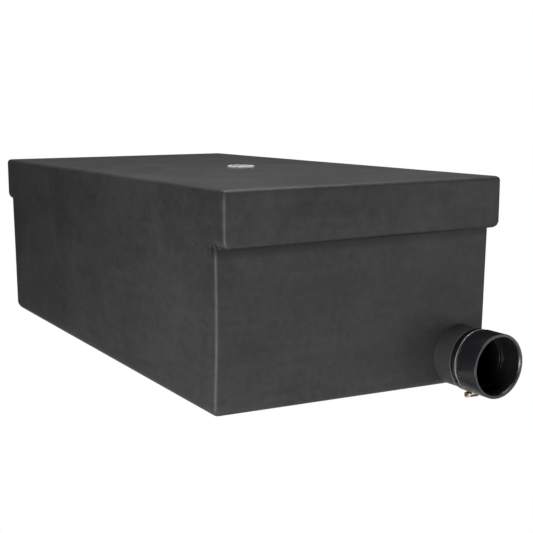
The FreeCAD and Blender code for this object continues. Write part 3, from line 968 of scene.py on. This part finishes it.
def make_floor(sizes):
    """A wide pale floor under the hung tank."""
    bm = bmesh.new()
    rings = []
    for radius in (0.6, 2.0, 5.0, 12.0, 30.0, 60.0):
        rings.append([bm.verts.new((radius * math.cos(TURN * i / 64), radius * math.sin(TURN * i / 64),
                                    -sizes.floor_drop)) for i in range(64)])
    bm.faces.new(rings[0])
    for inner, outer in zip(rings, rings[1:]):
        for i in range(64):
            k = (i + 1) % 64
            bm.faces.new((inner[i], outer[i], outer[k], inner[k]))
    floor = add_mesh("pale_floor", bm)
    finish = Finish("pale_floor", sizes.floor_colour, roughness=0.9)
    faint = scaled(sizes.floor_colour, 0.97)
    finish.colour(finish.blend(finish.noise(14.0, 4.0), tuple(sizes.floor_colour), faint))
    glow = finish.nodes.new("ShaderNodeEmission")
    glow.inputs["Color"].default_value = (1.0, 1.0, 1.0, 1.0)
    seen_white(finish.nodes, finish.links, finish.shader.outputs[0], glow.outputs[0],
               finish.nodes["Material Output"].inputs["Surface"])
    floor.data.materials.append(finish.material)


def seen_white(nodes, links, lighting, white, target):
    """Shows one shader to the camera and lets the other light the scene."""
    path = nodes.new("ShaderNodeLightPath")
    mix = nodes.new("ShaderNodeMixShader")
    links.new(path.outputs["Is Camera Ray"], mix.inputs["Fac"])
    links.new(lighting, mix.inputs[1])
    links.new(white, mix.inputs[2])
    links.new(mix.outputs["Shader"], target)


def make_world(sizes):
    """White all round for the camera, and soft even light for the tank."""
    world = bpy.data.worlds.new("studio")
    bpy.context.scene.world = world
    world.use_nodes = True
    nodes, links = world.node_tree.nodes, world.node_tree.links
    light = nodes["Background"]
    light.inputs["Color"].default_value = (1.0, 1.0, 1.0, 1.0)
    light.inputs["Strength"].default_value = sizes.ambient
    white = nodes.new("ShaderNodeBackground")
    white.inputs["Color"].default_value = (1.0, 1.0, 1.0, 1.0)
    white.inputs["Strength"].default_value = 1.0
    seen_white(nodes, links, light.outputs["Background"], white.outputs["Background"],
               nodes["World Output"].inputs["Surface"])


SOFTBOXES = (
    ("overhead", (0.1, 0.0, 2.6), (0.0, 0.0, 0.3), 2.2, 97.0),
    ("right_front", (1.8, -2.0, 0.0), (0.1, -0.4, 0.15), 1.4, 12.4),
    ("left_low", (-1.3, -1.2, -0.3), (-0.25, -0.3, 0.15), 0.7, 24.0),
    ("left", (-1.9, -1.3, 0.4), (-0.25, -0.2, 0.15), 1.0, 8.0),
    ("left_far", (-3.0, 0.3, 0.0), (-0.25, 0.0, 0.15), 1.4, 1.0),
)


def make_softbox(name, place, target, size, power):
    """A square softbox that faces a point."""
    light = bpy.data.lights.new(name, "AREA")
    light.shape = "SQUARE"
    light.size = size
    light.energy = power
    lamp = bpy.data.objects.new(name, light)
    bpy.context.scene.collection.objects.link(lamp)
    lamp.location = place
    lamp.rotation_euler = (Vector(target) - Vector(place)).to_track_quat("-Z", "Y").to_euler()


def make_camera(sizes):
    """The camera at the near corner, a little above the top."""
    data = bpy.data.cameras.new("camera")
    data.lens = sizes.lens
    data.sensor_width = 36.0
    data.clip_start = 0.05
    data.clip_end = 200.0
    camera = bpy.data.objects.new("camera", data)
    bpy.context.scene.collection.objects.link(camera)
    shell = bpy.context.scene.tank_shell
    corner = Vector((-HALF_WIDTH, MIDDLE_Y - shell.body_length / 2, TOP_Z))
    camera.location = corner + Vector(sizes.from_corner)
    aim = Matrix.Rotation(-sizes.yaw, 3, "Z") @ Matrix.Rotation(math.pi / 2 - sizes.pitch, 3, "X")
    camera.rotation_euler = (aim @ Matrix.Rotation(sizes.roll, 3, "Z")).to_euler()
    bpy.context.scene.camera = camera


# ---------------------------------------------------------------- operators


class TANK_OT_shell(bpy.types.Operator):
    """Build the moulded shell"""

    bl_idname = "tank.shell"
    bl_label = "Moulded Shell"

    def execute(self, context):
        build_shell(context.scene.tank_shell)
        return {"FINISHED"}


class TANK_OT_outlet(bpy.types.Operator):
    """Build the drain hub and its seal"""

    bl_idname = "tank.outlet"
    bl_label = "Outlet Hub and Seal"

    def execute(self, context):
        build_hub(context.scene.tank_outlet)
        build_seal(context.scene.tank_outlet, context.scene.tank_shell)
        return {"FINISHED"}


class TANK_OT_clamp(bpy.types.Operator):
    """Build the worm clamp's band, saddle, housing and screw"""

    bl_idname = "tank.clamp"
    bl_label = "Worm Clamp"

    def execute(self, context):
        sizes, shell = context.scene.tank_clamp, context.scene.tank_shell
        build_band(sizes, shell)
        build_saddle(sizes, shell)
        build_housing(sizes, shell)
        build_screw(sizes)
        return {"FINISHED"}


class TANK_OT_port(bpy.types.Operator):
    """Build the threaded port in the top"""

    bl_idname = "tank.port"
    bl_label = "Top Port"

    def execute(self, context):
        build_port(context.scene.tank_port)
        return {"FINISHED"}


class TANK_OT_stage(bpy.types.Operator):
    """Set out the floor, the light and the camera"""

    bl_idname = "tank.stage"
    bl_label = "Floor, Light and Camera"

    def execute(self, context):
        sizes = context.scene.tank_stage
        make_camera(sizes)
        make_floor(sizes)
        make_world(sizes)
        for softbox in SOFTBOXES:
            make_softbox(*softbox)
        context.scene.view_settings.view_transform = "Standard"
        return {"FINISHED"}


class TANK_PT_panel(bpy.types.Panel):
    """Lists the tank's pieces with their sizes"""

    bl_idname = "TANK_PT_panel"
    bl_label = "Water Tank"
    bl_space_type = "VIEW_3D"
    bl_region_type = "UI"
    bl_category = "Tank"

    def draw(self, context):
        for operator, group in PANEL_ROWS:
            column = self.layout.box().column(align=True)
            column.operator(operator)
            sizes = getattr(context.scene, group)
            for label in sizes.__annotations__:
                column.prop(sizes, label)


PANEL_ROWS = (
    ("tank.shell", "tank_shell"),
    ("tank.outlet", "tank_outlet"),
    ("tank.clamp", "tank_clamp"),
    ("tank.port", "tank_port"),
    ("tank.stage", "tank_stage"),
)
GROUPS = {
    "tank_shell": TankShellSizes,
    "tank_outlet": TankOutletSizes,
    "tank_clamp": TankClampSizes,
    "tank_port": TankPortSizes,
    "tank_stage": TankStageSizes,
}
CLASSES = (
    *GROUPS.values(), TANK_OT_shell, TANK_OT_outlet, TANK_OT_clamp, TANK_OT_port, TANK_OT_stage, TANK_PT_panel)


def register():
    for item in CLASSES:
        bpy.utils.register_class(item)
    for name, group in GROUPS.items():
        setattr(bpy.types.Scene, name, PointerProperty(type=group))


def unregister():
    for name in GROUPS:
        delattr(bpy.types.Scene, name)
    for item in reversed(CLASSES):
        bpy.utils.unregister_class(item)


def main():
    """Builds every piece and the stage."""
    register()
    bpy.ops.tank.shell()
    bpy.ops.tank.outlet()
    bpy.ops.tank.clamp()
    bpy.ops.tank.port()
    bpy.ops.tank.stage()


if __name__ == "__main__":
    main()
